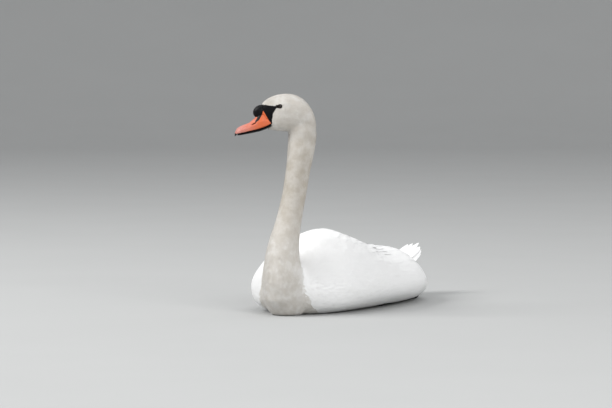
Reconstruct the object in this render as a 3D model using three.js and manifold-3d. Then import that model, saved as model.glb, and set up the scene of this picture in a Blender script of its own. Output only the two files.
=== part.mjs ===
// A mute swan (Cygnus olor) at life size, lying on the ground with its neck raised and its head turned to
// its right. Millimetres, +Z up. The bird faces -Y, its left side is +X, and it rests on the plane z = 0.
// The origin is on the ground, under the middle of the bird.
import * as THREE from "three";
import { mergeVertices } from "three/addons/utils/BufferGeometryUtils.js";
import Module from "manifold-3d";

const wasm = await Module();
wasm.setup();

// ---- Driving dimensions -------------------------------------------------------------------------------
const GAP = 0.3; // clearance between neighbouring pieces
const BREAST = -334; // front of the trunk
const VENT = 318; // rear end of the trunk, under the tail
const WING_PROUD = 4; // how far the folded wing stands out from the flank
const HEAD_TURN = THREE.MathUtils.degToRad(-64); // about +Z, towards the bird's right
const HEAD_AT = new THREE.Vector3(-45, -230.5, 440); // between the eyes
const BILL_TIP = 95; // ahead of the eyes
const EYE_RADIUS = 6.4;
const EYE_OUT = 20; // from the middle of the head to the middle of an eyeball
const TAIL_FEATHERS = 9;
const TAIL_ROOT = new THREE.Vector3(0, 178, 63);
const TAIL_LIFT = THREE.MathUtils.degToRad(15);
const TAIL_ROLL = THREE.MathUtils.degToRad(-7); // the fan's left side is a little higher
const TARSUS = 108;
const TOE_LENGTH = 132; // middle toe with its claw
const HEEL = new THREE.Vector3(70, 206, 8); // of the left leg, lying on the ground

// ---- Small maths --------------------------------------------------------------------------------------
const { degToRad, lerp, smoothstep } = THREE.MathUtils;
const power = (x, p) => Math.sign(x) * Math.abs(x) ** p;

// A smooth function through [place, value] knots that never overshoots them.
function through(...knots) {
  const slope = knots.slice(1).map(([x, v], i) => (v - knots[i][1]) / (x - knots[i][0]));
  const tangent = knots.map((_, i) => {
    if (i === 0) return slope[0];
    if (i === knots.length - 1) return slope[i - 1];
    const [a, b] = [slope[i - 1], slope[i]];
    return a * b <= 0 ? 0 : (2 * a * b) / (a + b);
  });
  return (x) => {
    let i = knots.findIndex(([at]) => at > x) - 1;
    if (i === -2) i = knots.length - 2;
    i = Math.max(i, 0);
    const [x0, v0] = knots[i];
    const [x1, v1] = knots[i + 1];
    const t = Math.min(Math.max((x - x0) / (x1 - x0), 0), 1);
    const bend = (x1 - x0) * (tangent[i] * t * (1 - t) ** 2 - tangent[i + 1] * t * t * (1 - t));
    return lerp(v0, v1, t * t * (3 - 2 * t)) + bend;
  };
}

// ---- Solids -------------------------------------------------------------------------------------------
// A closed skin over a stack of rings of points, with a fan to the middle of the first ring and the last.
function skinOver(rings) {
  const count = rings[0].length;
  const points = rings.flat();
  const middle = (ring) => ring.reduce((sum, p) => sum.add(p), new THREE.Vector3()).divideScalar(count);
  const first = points.push(middle(rings[0])) - 1;
  const last = points.push(middle(rings.at(-1))) - 1;
  const index = [];
  for (let j = 0; j < count; j++) {
    const k = (j + 1) % count;
    index.push(first, k, j);
    for (let i = 0; i + 1 < rings.length; i++) {
      const [a, b] = [i * count, (i + 1) * count];
      index.push(a + j, a + k, b + k, a + j, b + k, b + j);
    }
    const end = (rings.length - 1) * count;
    index.push(last, end + j, end + k);
  }
  return new THREE.BufferGeometry().setFromPoints(points).setIndex(index);
}

// A geometry as a manifold-3d solid, turned right side out.
function solid(geometry, matrix = new THREE.Matrix4()) {
  const bare = geometry.clone().applyMatrix4(matrix);
  bare.deleteAttribute("normal");
  bare.deleteAttribute("uv");
  const merged = mergeVertices(bare, 1e-3);
  const corners = merged.index.array;
  const triangles = [];
  for (let i = 0; i < corners.length; i += 3) {
    const [a, b, c] = corners.slice(i, i + 3);
    if (a !== b && b !== c && c !== a) triangles.push(a, b, c);
  }
  const build = (triVerts) =>
    new wasm.Manifold(
      new wasm.Mesh({
        numProp: 3,
        vertProperties: new Float32Array(merged.attributes.position.array),
        triVerts: new Uint32Array(triVerts),
      }),
    );
  const made = build(triangles);
  return made.volume() < 0 ? build(triangles.reverse()) : made;
}

function geometryOf(made) {
  const mesh = made.getMesh();
  const points = new Float32Array(mesh.numVert * 3);
  for (let i = 0; i < mesh.numVert; i++) {
    points.set(mesh.vertProperties.subarray(i * mesh.numProp, i * mesh.numProp + 3), i * 3);
  }
  const geometry = new THREE.BufferGeometry();
  geometry.setAttribute("position", new THREE.BufferAttribute(points, 3));
  geometry.setIndex(new THREE.BufferAttribute(new Uint32Array(mesh.triVerts), 1));
  geometry.computeVertexNormals();
  return geometry;
}

const joined = (...solids) => solids.reduce((all, s) => all.add(s));
const cutBy = (piece, ...tools) => tools.reduce((left, t) => left.subtract(t), piece);
const largest = (made) => made.decompose().sort((a, b) => b.volume() - a.volume())[0];

// The ground: what is cut by it gets a flat at z = 0 to rest on.
const ground = solid(new THREE.BoxGeometry(1200, 1400, 400).translate(0, 0, -200));

// ---- The trunk's section ------------------------------------------------------------------------------
// Knots along Y. The folded wings lie in the upper half, WING_PROUD outside it.
const halfWidth = through(
  [BREAST, 0], [-322, 26], [-300, 52], [-262, 92], [-213, 123], [-150, 136], [-60, 142], [50, 142],
  [130, 132], [190, 109], [240, 72], [285, 36], [VENT, 0],
);
const topLine = through(
  [BREAST, 62], [-315, 82], [-285, 98], [-250, 121], [-213, 146], [-170, 163], [-117, 167], [-60, 154],
  [30, 131], [84, 124], [140, 120], [210, 108], [280, 87], [VENT, 60],
);
const bottomLine = through(
  [BREAST, 48], [-320, 26], [-290, 8], [-250, -4], [160, -4], [220, 2], [270, 16], [VENT, 50],
);
const widestLevel = through([BREAST, 55], [-213, 47], [150, 42], [240, 35], [VENT, 52]);
const TRUNK_SIDES = 24;
const TRUNK_RINGS = 17;
const UPPER_POWER = 1.68;
const LOWER_POWER = 2.5;

// The point of the trunk's skin at y along it and angle round it, from 0 at the bird's left to 90 degrees
// at the top. proud moves it outwards.
function trunkPoint(y, angle, proud = 0) {
  const up = Math.sin(angle) > 0;
  const level = widestLevel(y);
  const height = (up ? topLine(y) - level : level - bottomLine(y)) + proud;
  const p = 2 / (up ? UPPER_POWER : LOWER_POWER);
  const x = (halfWidth(y) + proud) * power(Math.cos(angle), p);
  return new THREE.Vector3(x, y, level + height * power(Math.sin(angle), p));
}

// A closed stack of rings across Y that crowd towards both ends, so that a round end stays round. ring(y)
// gives one ring's points, and the end rings move out by grow.
function stackAlongY(from, to, count, grow, ring) {
  const rings = Array.from({ length: count }, (_, i) => {
    const y = lerp(from, to, (1 - Math.cos((Math.PI * (i + 0.5)) / count)) / 2);
    const out = i === 0 ? -grow : i === count - 1 ? grow : 0;
    return ring(y).map((p) => p.setY(p.y + out));
  });
  return skinOver(rings);
}

function trunkBody(grow = 0) {
  const ring = (y) =>
    Array.from({ length: TRUNK_SIDES }, (_, j) => trunkPoint(y, (2 * Math.PI * j) / TRUNK_SIDES, grow));
  return solid(stackAlongY(BREAST, VENT, TRUNK_RINGS, grow, ring));
}

// A shell of feathers on the trunk: between two angles that change along Y, from depth inside the trunk's
// skin to proud outside it, and thin at its edges. side is 1 for the left and -1 for the right.
function feathered({ from, to, low, high, proud, depth, side = 1, rings, steps, grow = 0 }) {
  const ring = (y) => {
    const t = (y - from) / (to - from);
    const swell = Math.sqrt(Math.sin(Math.PI * t ** 0.8));
    const outer = [];
    const inner = [];
    for (let j = 0; j <= steps; j++) {
      const s = j / steps;
      const edge = Math.sin(Math.PI * s) ** 0.35;
      const angle = degToRad(lerp(low(t) - grow, high(t) + grow, s));
      outer.push(trunkPoint(y, angle, proud * lerp(0.5, 1, edge) * swell + grow));
      inner.unshift(trunkPoint(y, angle, -depth * edge * swell - 1 - grow));
    }
    return [...outer, ...inner].map((p) => p.setX(side * p.x));
  };
  return solid(stackAlongY(from, to, rings, grow, ring));
}

// ---- Wings, mantle and wing tips ----------------------------------------------------------------------
// The folded wing, from its bend beside the breast to the ends of its inner flight feathers.
const wing = (side, grow = 0) =>
  feathered({
    from: -238,
    to: 236,
    low: through([0, 10], [0.12, -8], [0.45, -16], [0.75, -4], [1, 44]),
    high: through([0, 30], [0.12, 58], [0.3, 80], [0.6, 86], [1, 84]),
    proud: WING_PROUD,
    depth: 12,
    rings: 12,
    steps: 6,
    side,
    grow,
  });

// The tips of the outer flight feathers, which show behind the wing over the rump.
const wingTip = (side, grow = 0) =>
  feathered({
    from: 120,
    to: 288,
    low: through([0, 30], [1, 62]),
    high: through([0, 86], [1, 86]),
    proud: WING_PROUD,
    depth: 5,
    rings: 7,
    steps: 4,
    side,
    grow,
  });

// The cape of shoulder feathers over the top of both wings.
const CAPE_EDGE = through([0, 70], [0.3, 52], [0.7, 52], [1, 74]);
const mantle = (grow = 0) =>
  feathered({
    from: -206,
    to: 78,
    low: CAPE_EDGE,
    high: (t) => 180 - CAPE_EDGE(t),
    proud: WING_PROUD + 3,
    depth: 7,
    rings: 9,
    steps: 9,
    grow,
  });

// ---- Neck ---------------------------------------------------------------------------------------------
// Its middle line rises from the breast, leans back and bends over into the turned head. Each knot is a
// point of the line and the radius there.
const NECK = [
  [0, -268, 16, 44], [0, -297, 52, 52], [0, -307, 98, 43], [0, -303, 143, 35.5], [0, -280, 192, 28.8],
  [0, -254, 247, 26.6], [-1, -232.5, 302, 27], [-1.2, -216.5, 350, 30], [-2.5, -208.5, 388, 30.8],
  [-13, -212.5, 418, 28.5], [-31, -222.5, 436, 23],
];
const neckLine = new THREE.CatmullRomCurve3(NECK.map(([x, y, z]) => new THREE.Vector3(x, y, z)));
const neckRadius = through(...NECK.map((knot, i) => [i / (NECK.length - 1), knot[3]]));
const NECK_JOINTS = [0.26, 0.45, 0.61, 0.775]; // its root in the trunk, two joints along it, and the head
const NECK_SIDES = 16;
const NECK_FLATTEN = 0.95; // across the body, as against fore and aft

function neck(from, to, rings, grow = 0) {
  const ring = (_, i) => {
    const t = lerp(from, to, i / rings);
    const at = neckLine.getPoint(t);
    const ahead = neckLine.getTangent(t);
    const turn = smoothstep(t, 0.5, 0.95) * HEAD_TURN;
    const fore = new THREE.Vector3(Math.cos(turn), Math.sin(turn), 0).cross(ahead).normalize();
    const aside = ahead.clone().cross(fore).normalize();
    const r = neckRadius(t) + grow;
    return Array.from({ length: NECK_SIDES }, (_, j) => {
      const angle = (2 * Math.PI * j) / NECK_SIDES;
      return at
        .clone()
        .addScaledVector(aside, NECK_FLATTEN * r * Math.cos(angle))
        .addScaledVector(fore, r * Math.sin(angle));
    });
  };
  return solid(skinOver(Array.from({ length: rings + 1 }, ring)));
}

// ---- Head ---------------------------------------------------------------------------------------------
// Built in its own frame: -Y forwards, +X its left, the origin between the eyes. ahead is -y.
const headFrame = new THREE.Matrix4().makeRotationZ(HEAD_TURN).setPosition(HEAD_AT);

// Rings across the head's length. Each has its top, bottom, half-width and the level where it is widest.
function lengthwise({ from, to, rings, sides, top, bottom, half, widest, upper = 2, lower = 2, grow = 0 }) {
  const ring = (y) => {
    const ahead = -y;
    const level = widest(ahead);
    return Array.from({ length: sides }, (_, j) => {
      const angle = (2 * Math.PI * (j + 0.5)) / sides;
      const up = Math.sin(angle) > 0;
      const p = 2 / (up ? upper : lower);
      const height = (up ? top(ahead) - level : level - bottom(ahead)) + grow;
      const x = (half(ahead) + grow) * power(Math.cos(angle), p);
      return new THREE.Vector3(x, y, level + height * power(Math.sin(angle), p));
    });
  };
  return solid(stackAlongY(-to, -from, rings, grow, ring));
}

const skull = () =>
  lengthwise({
    from: -78,
    to: 44,
    rings: 14,
    sides: 18,
    top: through(
      [-78, -42], [-74, -21], [-66, -4], [-57, 8.4], [-47, 16.8], [-28, 25.4], [-16, 26.6], [-1, 25.6],
      [12, 22.5], [23, 18], [34, 10.4], [40, 3], [44, -9],
    ),
    bottom: through(
      [-78, -46], [-68, -52], [-40, -56], [-20, -54.5], [0, -53.5], [16, -51.5], [30, -48], [44, -36],
    ),
    half: through(
      [-78, 4], [-73, 16], [-61, 25], [-40, 30.5], [-20, 31], [0, 28], [12, 22.5], [20, 17.6], [30, 15],
      [44, 8],
    ),
    widest: through([-78, -43], [-61, -22], [0, -17], [44, -24]),
    upper: 2.1,
    lower: 2.2,
  });

// ---- Bill ---------------------------------------------------------------------------------------------
// The gape is 17 ahead of the eyes. Between it and the knob the upper half starts at a slant, behind which
// are the bare lores.
const cuttingEdge = through(
  [14, -34], [17, -37], [26, -42], [36, -46.6], [50, -50.8], [70, -55.4], [BILL_TIP, -60.8],
);
const culmen = through(
  [14, -32], [18, -27], [36, -9], [44, -11], [52, -22], [57, -29.5], [63, -34.4], [73, -38], [83, -42],
  [90, -46.6], [BILL_TIP, -55.5],
);
const billHalf = through(
  [14, 15], [19, 18.4], [28, 18], [40, 16], [50, 15], [70, 15.8], [84, 16], [91, 12.4], [BILL_TIP, 5],
);

const billUpper = (grow = 0) =>
  lengthwise({
    from: 14,
    to: BILL_TIP,
    rings: 11,
    sides: 12,
    top: culmen,
    bottom: (a) => cuttingEdge(a) - 0.8,
    half: billHalf,
    widest: (a) => cuttingEdge(a) + 0.2 * (culmen(a) - cuttingEdge(a)),
    upper: 1.9,
    lower: 3.4,
    grow,
  });

const billLower = (grow = 0) =>
  lengthwise({
    from: 16,
    to: BILL_TIP - 4,
    rings: 9,
    sides: 12,
    top: (a) => cuttingEdge(a) - 1.4,
    bottom: (a) => cuttingEdge(a) - through([16, 6], [36, 5.6], [60, 4.8], [85, 4], [91, 3])(a),
    half: (a) => billHalf(a) - 1.5,
    widest: (a) => cuttingEdge(a) - 2,
    upper: 3,
    lower: 2.4,
    grow,
  });

// The hooked nail at the end of the upper half.
const NAIL_ROOT = 87;
const NAIL_TIP = BILL_TIP + 1.4;
const nailTop = through([NAIL_ROOT, -45], [90, -46.4], [93, -50], [BILL_TIP, -54.6], [NAIL_TIP, -58]);
const nailBottom = through([NAIL_ROOT, -52], [91, -60.5], [NAIL_TIP, -65.4]);
const nail = (grow = 0) =>
  lengthwise({
    from: NAIL_ROOT,
    to: NAIL_TIP,
    rings: 7,
    sides: 10,
    top: nailTop,
    bottom: nailBottom,
    half: through([NAIL_ROOT, 3], [90, 6.2], [93, 6.4], [NAIL_TIP, 3]),
    widest: (a) => lerp(nailBottom(a), nailTop(a), 0.45),
    grow,
  });

// The knob on the forehead, a ball that leans forward over the root of the bill.
const KNOB_HALF = new THREE.Vector3(12, 16, 13.5);
const KNOB_LEAN = degToRad(36);
const KNOB_AT = new THREE.Vector3(0, -42.5, -11.5);

function knob(grow = 0) {
  const ball = new THREE.SphereGeometry(1, 12, 8).scale(...KNOB_HALF.clone().addScalar(grow));
  return solid(ball.rotateX(KNOB_LEAN).translate(...KNOB_AT));
}

// The slit of a nostril, a hollow in the side of the upper half.
const NOSTRIL_HALF = new THREE.Vector3(3.4, 6.5, 1.8);
const NOSTRIL_LEAN = degToRad(24);
const NOSTRIL_AT = new THREE.Vector3(13.5, -55, -38); // of the left one

function nostril(side) {
  const slit = new THREE.SphereGeometry(1, 8, 5).scale(...NOSTRIL_HALF);
  return solid(slit.rotateX(NOSTRIL_LEAN).translate(side * NOSTRIL_AT.x, NOSTRIL_AT.y, NOSTRIL_AT.z));
}

const eye = (side, grow = 0) =>
  solid(new THREE.SphereGeometry(EYE_RADIUS + grow, 12, 8).translate(side * EYE_OUT, 0, 0));

// ---- Tail ---------------------------------------------------------------------------------------------
// One pointed feather of the fan, lying along +Y from its root.
function tailFeather(length, width, thickness) {
  const outline = new THREE.Shape();
  outline.moveTo(-0.3 * width, 0);
  outline.quadraticCurveTo(-0.62 * width, 0.55 * length, -0.46 * width, 0.84 * length);
  outline.quadraticCurveTo(-0.3 * width, 0.95 * length, 0, length);
  outline.quadraticCurveTo(0.3 * width, 0.95 * length, 0.46 * width, 0.84 * length);
  outline.quadraticCurveTo(0.62 * width, 0.55 * length, 0.3 * width, 0);
  return new THREE.ExtrudeGeometry(outline, { depth: thickness, bevelEnabled: false, curveSegments: 2 });
}

// The coverts that wrap the roots of the tail feathers, sunk in the end of the trunk.
const COVERTS_HALF = new THREE.Vector3(38, 74, 17);
const COVERTS_AT = new THREE.Vector3(0, 236, 76);

function tailCoverts(grow = 0) {
  const wrap = new THREE.SphereGeometry(1, 14, 9).scale(...COVERTS_HALF.clone().addScalar(grow));
  return solid(wrap.rotateX(TAIL_LIFT).translate(...COVERTS_AT));
}

function tail() {
  const rolled = new THREE.Matrix4().makeRotationY(TAIL_ROLL);
  const feathers = Array.from({ length: TAIL_FEATHERS }, (_, i) => {
    const s = (2 * i) / (TAIL_FEATHERS - 1) - 1; // from -1 at the bird's right to 1 at its left
    const place = new THREE.Matrix4()
      .makeRotationFromEuler(new THREE.Euler(TAIL_LIFT, degToRad(32 * s), degToRad(-10 * s), "ZXY"))
      .setPosition(10 * s, 0, 1.1 * (i % 2) - 12 * s * s)
      .premultiply(rolled)
      .premultiply(new THREE.Matrix4().makeTranslation(TAIL_ROOT));
    return solid(tailFeather(181 - 34 * s * s, 24, 2.2), place);
  });
  return joined(tailCoverts(), cutBy(joined(...feathers), trunkBody(GAP)));
}

// ---- Legs and feet ------------------------------------------------------------------------------------
// The shank lies on the ground under the flank, heel behind, and the foot points forwards.
function rod(from, to, radii, sides) {
  const ring = ([t, r]) => {
    const at = from.clone().lerp(to, t);
    return Array.from({ length: sides }, (_, j) => {
      const angle = (2 * Math.PI * (j + 0.5)) / sides;
      return new THREE.Vector3(at.x + r * Math.cos(angle), at.y, at.z + r * Math.sin(angle));
    });
  };
  return solid(skinOver(radii.map(ring)));
}

const ankle = (side) => new THREE.Vector3(side * (HEEL.x - 6), HEEL.y - TARSUS, 6.4);

const shank = (side, grow = 0) =>
  rod(
    new THREE.Vector3(side * HEEL.x, HEEL.y + 12, HEEL.z),
    ankle(side).add(new THREE.Vector3(0, 1, 0)),
    [[0, 4], [0.04, 9], [0.12, 10.5], [0.24, 8.8], [0.6, 7.2], [1, 7]].map(([t, r]) => [t, r + grow]),
    8,
  );

// Three toes, and the web between them.
const TOES = [
  { turn: 15, length: 0.8 * TOE_LENGTH },
  { turn: 0, length: TOE_LENGTH },
  { turn: -13, length: 0.94 * TOE_LENGTH },
];
const WEB_REACH = 0.84; // of a toe's length

function foot(side) {
  const root = ankle(side);
  const tip = ({ turn, length }, reach) => {
    const along = new THREE.Vector3(0, -reach * length, 0);
    return along.applyAxisAngle(new THREE.Vector3(0, 0, 1), degToRad(-side * turn)).add(root).setZ(3.2);
  };
  const radii = [[0, 7], [0.3, 4.8], [0.84, 4], [0.9, 2.4], [1, 1]];
  const toes = TOES.map((toe) => rod(root, tip(toe, 1), radii, 6));
  const [inner, middle, outer] = TOES.map((toe) => tip(toe, WEB_REACH));
  const web = new THREE.Shape();
  web.moveTo(root.x, root.y);
  web.lineTo(inner.x, inner.y);
  for (const [a, b] of [[inner, middle], [middle, outer]]) {
    web.quadraticCurveTo((a.x + b.x) / 2, Math.max(a.y, b.y) + 8, b.x, b.y);
  }
  web.closePath();
  const sheet = new THREE.ExtrudeGeometry(web, { depth: 2, bevelEnabled: false, curveSegments: 3 });
  return joined(...toes, solid(sheet.translate(0, 0, 0.8)));
}

// The plain hollow in the belly that a leg and its foot lie in, WELL_HEIGHT above the ground.
const WELL_HEIGHT = 14;
const WELL_ROOM = 6; // round the foot

function legWell(side) {
  const root = ankle(side);
  const [inner, outer] = [TOES[0], TOES[2]].map(({ turn, length }) => {
    const a = degToRad(side * turn);
    const x = root.x - length * Math.sin(a) - side * WELL_ROOM * Math.sign(turn);
    return new THREE.Vector2(x, root.y - length * Math.cos(a) - WELL_ROOM);
  });
  const well = new THREE.Shape([
    new THREE.Vector2(root.x - side * 9, root.y + 8),
    inner,
    new THREE.Vector2(root.x, root.y - TOE_LENGTH - WELL_ROOM),
    outer,
    new THREE.Vector2(root.x + side * 9, root.y + 8),
  ]);
  const depth = 2 * WELL_HEIGHT;
  const hollow = new THREE.ExtrudeGeometry(well, { depth, bevelEnabled: false });
  return joined(solid(hollow.translate(0, 0, -WELL_HEIGHT)), shank(side, 1));
}

// ---- The pieces ---------------------------------------------------------------------------------------
const sides = { left: 1, right: -1 };
const bothSides = (make) => Object.values(sides).map((side) => make(side, GAP));
const nodes = {}; // each piece's solid by its name; the head's are in the head's own frame

for (const [name, side] of Object.entries(sides)) {
  nodes[`leg_${name}`] = cutBy(shank(side), ground);
  nodes[`foot_${name}`] = cutBy(foot(side), shank(side, GAP), ground);
  nodes[`wing_${name}`] = largest(cutBy(wing(side), mantle(GAP), neck(0.1, 0.45, 8, GAP)));
  nodes[`wing_tip_${name}`] = largest(cutBy(wingTip(side), wing(side, 1.5 * GAP), mantle(GAP)));
  nodes[`eye_${name}`] = eye(side);
}
nodes.mantle = mantle();
nodes.tail = largest(cutBy(tail(), ...bothSides(wing), ...bothSides(wingTip)));
nodes.trunk = largest(
  cutBy(
    joined(trunkBody(), neck(0, NECK_JOINTS[0], 5)),
    ground,
    neck(NECK_JOINTS[0], 0.45, 5, GAP),
    ...bothSides(wing),
    ...bothSides(wingTip),
    mantle(1.5 * GAP),
    tailCoverts(GAP),
    ...bothSides(legWell),
  ),
);

const NECK_SLIT = 0.001; // of the neck's line, the thin cut at each joint
["neck_lower", "neck_middle", "neck_upper"].forEach((name, i) => {
  nodes[name] = neck(NECK_JOINTS[i] + NECK_SLIT, NECK_JOINTS[i + 1], 5);
});

const intoHead = headFrame.clone().invert();
nodes.bill_nail = nail();
nodes.bill_knob = knob();
nodes.bill_upper = largest(cutBy(billUpper(), nail(GAP), knob(GAP), ...bothSides(nostril)));
nodes.bill_lower = largest(cutBy(billLower(), billUpper(GAP), nail(GAP)));
nodes.head = largest(
  cutBy(
    joined(skull(), neck(NECK_JOINTS[3] + NECK_SLIT, 1, 5).transform(intoHead.elements)),
    billUpper(GAP),
    billLower(1.5 * GAP),
    knob(GAP),
    ...bothSides(eye),
  ),
);

// ---- Materials and the swan ---------------------------------------------------------------------------
const finish = (color, roughness) => new THREE.MeshStandardMaterial({ color, roughness, metalness: 0 });
const whitePlumage = finish(0xf4f4f2, 0.85);
const creamPlumage = finish(0xd9d3c6, 0.85);
const orangeBill = finish(0xe8743f, 0.45);
const blackBill = finish(0x17171a, 0.4);
const darkEye = finish(0x120d0a, 0.08);
const greyLeg = finish(0x2b2b2e, 0.6);

const looks = {
  trunk: whitePlumage, mantle: whitePlumage, tail: whitePlumage, wing: whitePlumage, neck: creamPlumage,
  head: creamPlumage, bill: blackBill, bill_upper: orangeBill, eye: darkEye, leg: greyLeg, foot: greyLeg,
};

const swan = new THREE.Group();
const headGroup = new THREE.Group();
headGroup.position.copy(HEAD_AT);
headGroup.rotation.z = HEAD_TURN;
swan.add(headGroup);

for (const [name, made] of Object.entries(nodes)) {
  const kind = name.split("_")[0];
  const mesh = new THREE.Mesh(geometryOf(made), looks[name] ?? looks[kind]);
  mesh.name = name;
  (["head", "bill", "eye"].includes(kind) ? headGroup : swan).add(mesh);
}

export default swan;
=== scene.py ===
# %% [markdown]
# # A mute swan lying down, feather by feather
#
# The real thing is a large white bird: soft flesh under a thick coat, a horny orange bill with a black knob,
# dark eyes, and black webbed feet tucked under the belly. It is made in this order: one smooth body, the skin
# inside it, the coat, laid feather by feather from the head to the tail, the hard parts of the head, and the
# finishes. Each cell makes one of these and prints what it made.
#
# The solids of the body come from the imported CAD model, which fixes every size and place. Nothing here moves
# them: each visible piece is worked out from where they are, in metres, with the bird facing -Y.

import math

import bmesh
import bpy
import numpy as np
from mathutils import Matrix, Vector
from mathutils.bvhtree import BVHTree
from mathutils.kdtree import KDTree


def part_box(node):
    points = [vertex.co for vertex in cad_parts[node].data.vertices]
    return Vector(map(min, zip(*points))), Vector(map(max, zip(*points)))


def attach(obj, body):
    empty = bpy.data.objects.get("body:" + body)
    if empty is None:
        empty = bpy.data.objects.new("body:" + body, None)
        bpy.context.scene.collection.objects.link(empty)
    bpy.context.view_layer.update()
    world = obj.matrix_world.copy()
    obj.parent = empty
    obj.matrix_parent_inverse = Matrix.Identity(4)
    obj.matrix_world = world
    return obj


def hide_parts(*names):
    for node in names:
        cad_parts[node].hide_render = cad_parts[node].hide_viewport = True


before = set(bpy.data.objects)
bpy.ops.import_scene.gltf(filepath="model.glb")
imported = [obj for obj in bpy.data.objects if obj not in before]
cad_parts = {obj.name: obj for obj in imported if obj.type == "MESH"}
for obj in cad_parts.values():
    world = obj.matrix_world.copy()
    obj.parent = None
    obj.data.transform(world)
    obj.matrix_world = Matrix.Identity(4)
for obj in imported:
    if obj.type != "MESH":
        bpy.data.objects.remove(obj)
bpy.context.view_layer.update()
MM = 0.001
chance = np.random.default_rng(7)

# %% [markdown]
# ## The camera
# A long lens from seven metres away keeps the bird's proportions true. It stands low, a hand's span above the
# bird's head, and looks at its left shoulder. The aim is a little left of the bird and above its back, so that
# the bird lies low in the frame with room in front of its bill.

# %% The camera
CAMERA_ROUND = math.radians(26)  # from straight ahead of the bird, towards its left
CAMERA_UP = math.radians(5)
CAMERA_AWAY = 7.0
LENS, SENSOR = 187.2, 36  # the lens and the sensor's width, in millimetres
AIM_RIGHT = -0.0884
AIM_UP = 0.22


def linked(name, data):
    """A new object of a mesh, a camera or a light, in the scene."""
    thing = bpy.data.objects.new(name, data)
    bpy.context.scene.collection.objects.link(thing)
    return thing


to_camera = Vector((math.sin(CAMERA_ROUND), -math.cos(CAMERA_ROUND), math.tan(CAMERA_UP))).normalized()
camera_right = Vector((math.cos(CAMERA_ROUND), math.sin(CAMERA_ROUND), 0))
camera_up = to_camera.cross(camera_right)
lens = bpy.data.cameras.new("camera")
lens.sensor_width = SENSOR
lens.lens = LENS
camera = linked("camera", lens)
camera.location = to_camera * CAMERA_AWAY
aim = camera_right * AIM_RIGHT + camera_up * AIM_UP
camera.rotation_euler = (aim - camera.location).to_track_quat("-Z", "Y").to_euler()
bpy.context.scene.camera = camera
print("camera at", [round(v, 2) for v in camera.location])

# %% [markdown]
# ## Where things are on the head
# The bill, the lids and the markings of the face are placed by how far they are ahead of the eyes, above them
# and to the bird's left of them. The two eyeballs give that frame: its origin is midway between them.

# %% The head's frame
def middle_of(node):
    low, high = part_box(node)
    return (Vector(low) + Vector(high)) / 2


eyes = {side: middle_of(f"eye_{side}") for side in ("left", "right")}
between_eyes = (eyes["left"] + eyes["right"]) / 2
leftward = (eyes["left"] - eyes["right"]).normalized()
upward = Vector((0, 0, 1))
forward = leftward.cross(upward)
head_axes = np.array([forward, upward, leftward])


def in_head(points):
    """How far points are ahead of the eyes, above them and to their left, in millimetres."""
    return (np.asarray(points) - np.array(between_eyes)) @ head_axes.T / MM


def from_head(ahead, up):
    """The point that is so many millimetres ahead of the eyes and above them, midway across the head."""
    return between_eyes + (forward * ahead + upward * up) * MM


print("the bill points along", [round(v, 2) for v in forward])

# %% [markdown]
# ## One smooth body
# The CAD solids have flat facets and thin gaps between them, and real flesh has neither. A voxel remesh wraps
# the solids of flesh in one closed mesh of even squares. Blurring that mesh takes the facets away, but it also
# shrinks it, so what the blur took off is blurred too and put back: that keeps the size and loses the facets.
#
# The head needs squares of about a millimetre, and on the body those would be far too many. So the two are
# wrapped apart, each is cut level across the upper neck, and a ring of faces bridges the cut.

# %% Wrapping and smoothing
FLESH_OF_BODY = ["trunk", "mantle", "wing_left", "wing_right", "wing_tip_left", "wing_tip_right",
                 "neck_lower", "neck_middle", "neck_upper"]
FLESH_OF_HEAD = ["head", "neck_upper", "neck_middle", "eye_left", "eye_right"]


def copy_of(nodes):
    """A bmesh of copies of CAD nodes, with the corners of their loose triangles merged."""
    bm = bmesh.new()
    for node in nodes:
        bm.from_mesh(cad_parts[node].data)
    bmesh.ops.remove_doubles(bm, verts=bm.verts, dist=0.01 * MM)
    return bm


def wrapped(bm, voxel):
    """The outside of closed shapes that touch or overlap, as one closed mesh of even squares."""
    mesh = bpy.data.meshes.new("wrap")
    bm.to_mesh(mesh)
    bm.free()
    holder = linked("wrap", mesh)
    remesh = holder.modifiers.new("wrap", "REMESH")
    remesh.mode = "VOXEL"
    remesh.voxel_size = voxel
    seen = holder.evaluated_get(bpy.context.evaluated_depsgraph_get())
    out = bmesh.new()
    out.from_mesh(seen.to_mesh())
    bpy.data.objects.remove(holder)
    return out


def arrays_of(bm):
    """A bmesh's points and edges as arrays."""
    bm.verts.index_update()
    points = np.array([v.co[:] for v in bm.verts])
    edges = np.array([[v.index for v in e.verts] for e in bm.edges])
    return points, edges


def blurred(values, edges, rounds):
    """Values at the points of a mesh, each moved halfway to its neighbours' mean, again and again."""
    ends = np.concatenate([edges, edges[:, ::-1]])
    neighbours = np.bincount(ends[:, 0], minlength=len(values))
    for _ in range(rounds):
        mean = np.stack([np.bincount(ends[:, 0], column[ends[:, 1]], len(values)) for column in values.T], 1)
        values = (values + mean / neighbours[:, None]) / 2
    return values


def smoothed(points, edges, rounds):
    soft = blurred(points, edges, rounds)
    return soft + blurred(points - soft, edges, rounds)


def put_points(bm, points):
    for v, co in zip(bm.verts, points):
        v.co = co


# %% The body and the head, cut and bridged
BODY_SQUARE = 3.6 * MM
HEAD_SQUARE = 1.25 * MM
BODY_ROUNDS = 40
CREASE_ROUNDS = 7  # where the neck comes out of the breast, whose crease shows
HEAD_ROUNDS = 24
CUT_GAP = 1 * MM  # each side of the cut, for the faces that bridge it
BILL_EDGE = 7 * MM  # within this of the bill the head keeps its exact shape
RUMP_SIZE = Vector((38, 74, 14)) * MM  # the half sizes of the flesh that the tail feathers grow from
RUMP_LIFT = math.radians(12)

neck_low, neck_high = (Vector(corner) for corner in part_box("neck_upper"))
cut_level = (neck_low.z + neck_high.z) / 2
tail_low = Vector(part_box("tail")[0])
rump_middle = Vector((0, tail_low.y + 0.97 * RUMP_SIZE.y, tail_low.z + 23 * MM))


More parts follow.
